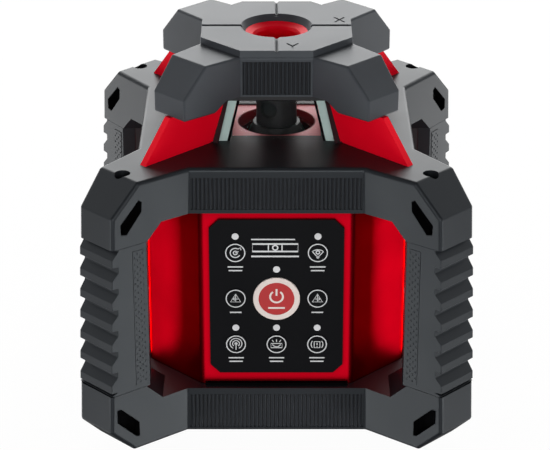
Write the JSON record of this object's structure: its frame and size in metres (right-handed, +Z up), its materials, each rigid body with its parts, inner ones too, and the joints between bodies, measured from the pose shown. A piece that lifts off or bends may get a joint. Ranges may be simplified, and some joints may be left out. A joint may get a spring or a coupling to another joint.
{
  "type": "rotating laser level",
  "caption": "Self-levelling rotating laser level with a bumpered octagonal housing, corner grips, glazed lantern, guard cap, keypad and slide-out battery.",
  "frame": {"origin": "on the floor, under the middle of the four feet", "axes": "+Z up along the rotor's axis, -Y towards the user at the keypad, +X to the user's right"},
  "size_m": [0.2042, 0.2042, 0.2043],
  "materials": {
    "bumper": "moulded dark grey, semi-gloss",
    "red_shell": "gloss",
    "black_plastic": "satin",
    "soft_black": "matt",
    "foot": "matt",
    "key": "satin",
    "key_red": "satin",
    "light": "translucent",
    "glass": "polished",
    "rotor_black": "satin",
    "machined": "machined",
    "steel": "turned",
    "brass": "turned",
    "vial": "clear green",
    "board": "solder mask",
    "cell": "sleeved",
    "knob": "moulded"
  },
  "bodies": {
    "chassis": {"lower_bumper": "bumper", "upper_bumper": "bumper", "guard_cap": "bumper", "corner_grip_front_left": "bumper", "corner_grip_front_right": "bumper", "corner_grip_rear_left": "bumper", "corner_grip_rear_right": "bumper", "main_housing": "red_shell", "lantern_cage": "red_shell", "guard_ring": "red_shell", "rotor_well": "red_shell", "base_tray": "black_plastic", "battery_bay": "black_plastic", "charge_socket": "black_plastic", "keypad_overlay": "black_plastic", "feet": "foot", "indicator_lights": "light", "window_front": "glass", "window_right": "glass", "window_rear": "glass", "window_left": "glass", "chassis_frame": "machined", "corner_tie_screws": "steel", "case_screws": "steel", "levelling_motors": "steel", "battery_contacts": "steel", "bottom_tripod_bush": "brass", "side_tripod_bush": "brass", "keypad_board": "board", "main_board": "board"},
    "gimbal": {"gimbal_ring": "machined"},
    "carriage": {"laser_carriage": "machined", "laser_module": "brass", "level_vials": "vial", "rotor_motor": "steel", "rotor_bearings": "steel", "drive_belt": "soft_black"},
    "rotor": {"rotor_hub": "machined", "rotor_head": "rotor_black", "rotor_lens": "glass", "penta_prism": "glass", "plumb_lens": "glass"},
    "rotor_drive": {"motor_pulley": "steel"},
    "screw_x": {"levelling_screw_x": "steel"},
    "screw_y": {"levelling_screw_y": "steel"},
    "nut_x": {"levelling_nut_x": "brass"},
    "nut_y": {"levelling_nut_y": "brass"},
    "battery": {"battery_pack": "black_plastic", "battery_cells": "cell", "battery_cover": "black_plastic"},
    "thumb_screw": {"battery_thumb_screw": "knob"},
    "port_cover": {"charge_port_cover": "soft_black"},
    "key_power": {"key_power": "key_red"},
    "key_speed": {"key_speed": "key"},
    "key_scan": {"key_scan": "key"},
    "key_left": {"key_left": "key"},
    "key_right": {"key_right": "key"},
    "key_remote": {"key_remote": "key"},
    "key_mode": {"key_mode": "key"},
    "key_shock": {"key_shock": "key"}
  },
  "joints": [
    {"name": "tilt_x", "type": "hinge", "parent": "chassis", "child": "gimbal", "pos_m": [0, 0, 0.118], "axis": [1, 0, 0], "range_deg": [-5, 5]},
    {"name": "tilt_y", "type": "hinge", "parent": "gimbal", "child": "carriage", "pos_m": [0, 0, 0.118], "axis": [0, 1, 0], "range_deg": [-5, 5]},
    {"name": "rotor_spin", "type": "hinge", "parent": "carriage", "child": "rotor", "pos_m": [0, 0, 0.15], "axis": [0, 0, 1], "continuous": true},
    {"name": "motor_spin", "type": "hinge", "parent": "carriage", "child": "rotor_drive", "pos_m": [-0.018, 0, 0.1295], "axis": [0, 0, 1], "continuous": true},
    {"name": "screw_x_turn", "type": "hinge", "parent": "chassis", "child": "screw_x", "pos_m": [0, -0.043, 0.09], "axis": [0, 0, 1], "continuous": true},
    {"name": "screw_y_turn", "type": "hinge", "parent": "chassis", "child": "screw_y", "pos_m": [0.03, 0, 0.06], "axis": [0, 0, 1], "continuous": true},
    {"name": "nut_x_travel", "type": "slide", "parent": "chassis", "child": "nut_x", "axis": [0, 0, 1], "range_m": [-0.004, 0.004]},
    {"name": "nut_y_travel", "type": "slide", "parent": "chassis", "child": "nut_y", "axis": [0, 0, 1], "range_m": [-0.003, 0.003]},
    {"name": "battery_slide", "type": "slide", "parent": "chassis", "child": "battery", "axis": [0, 1, 0], "range_m": [0, 0.06]},
    {"name": "thumb_screw_turn", "type": "hinge", "parent": "battery", "child": "thumb_screw", "pos_m": [0, 0.073, 0.063], "axis": [0, 1, 0], "continuous": true},
    {"name": "port_cover_swing", "type": "hinge", "parent": "chassis", "child": "port_cover", "pos_m": [0.0701, 0.0097, 0.041], "axis": [0, 0, 1], "range_deg": [0, 110]},
    {"name": "key_power_press", "type": "slide", "parent": "chassis", "child": "key_power", "axis": [0, 1, 0], "range_m": [0, 0.0006], "stiffness_N_per_m": 600},
    {"name": "key_speed_press", "type": "slide", "parent": "chassis", "child": "key_speed", "axis": [0, 1, 0], "range_m": [0, 0.0006], "stiffness_N_per_m": 600},
    {"name": "key_scan_press", "type": "slide", "parent": "chassis", "child": "key_scan", "axis": [0, 1, 0], "range_m": [0, 0.0006], "stiffness_N_per_m": 600},
    {"name": "key_left_press", "type": "slide", "parent": "chassis", "child": "key_left", "axis": [0, 1, 0], "range_m": [0, 0.0006], "stiffness_N_per_m": 600},
    {"name": "key_right_press", "type": "slide", "parent": "chassis", "child": "key_right", "axis": [0, 1, 0], "range_m": [0, 0.0006], "stiffness_N_per_m": 600},
    {"name": "key_remote_press", "type": "slide", "parent": "chassis", "child": "key_remote", "axis": [0, 1, 0], "range_m": [0, 0.0006], "stiffness_N_per_m": 600},
    {"name": "key_mode_press", "type": "slide", "parent": "chassis", "child": "key_mode", "axis": [0, 1, 0], "range_m": [0, 0.0006], "stiffness_N_per_m": 600},
    {"name": "key_shock_press", "type": "slide", "parent": "chassis", "child": "key_shock", "axis": [0, 1, 0], "range_m": [0, 0.0006], "stiffness_N_per_m": 600}
  ],
  "couplings": [
    {"joint": "motor_spin", "follows": "rotor_spin", "ratio": 2},
    {"joint": "nut_x_travel", "follows": "tilt_x", "m_per_rad": -0.043},
    {"joint": "screw_x_turn", "follows": "tilt_x", "ratio": -270.18},
    {"joint": "nut_y_travel", "follows": "tilt_y", "m_per_rad": -0.03},
    {"joint": "screw_y_turn", "follows": "tilt_y", "ratio": -188.5}
  ]
}
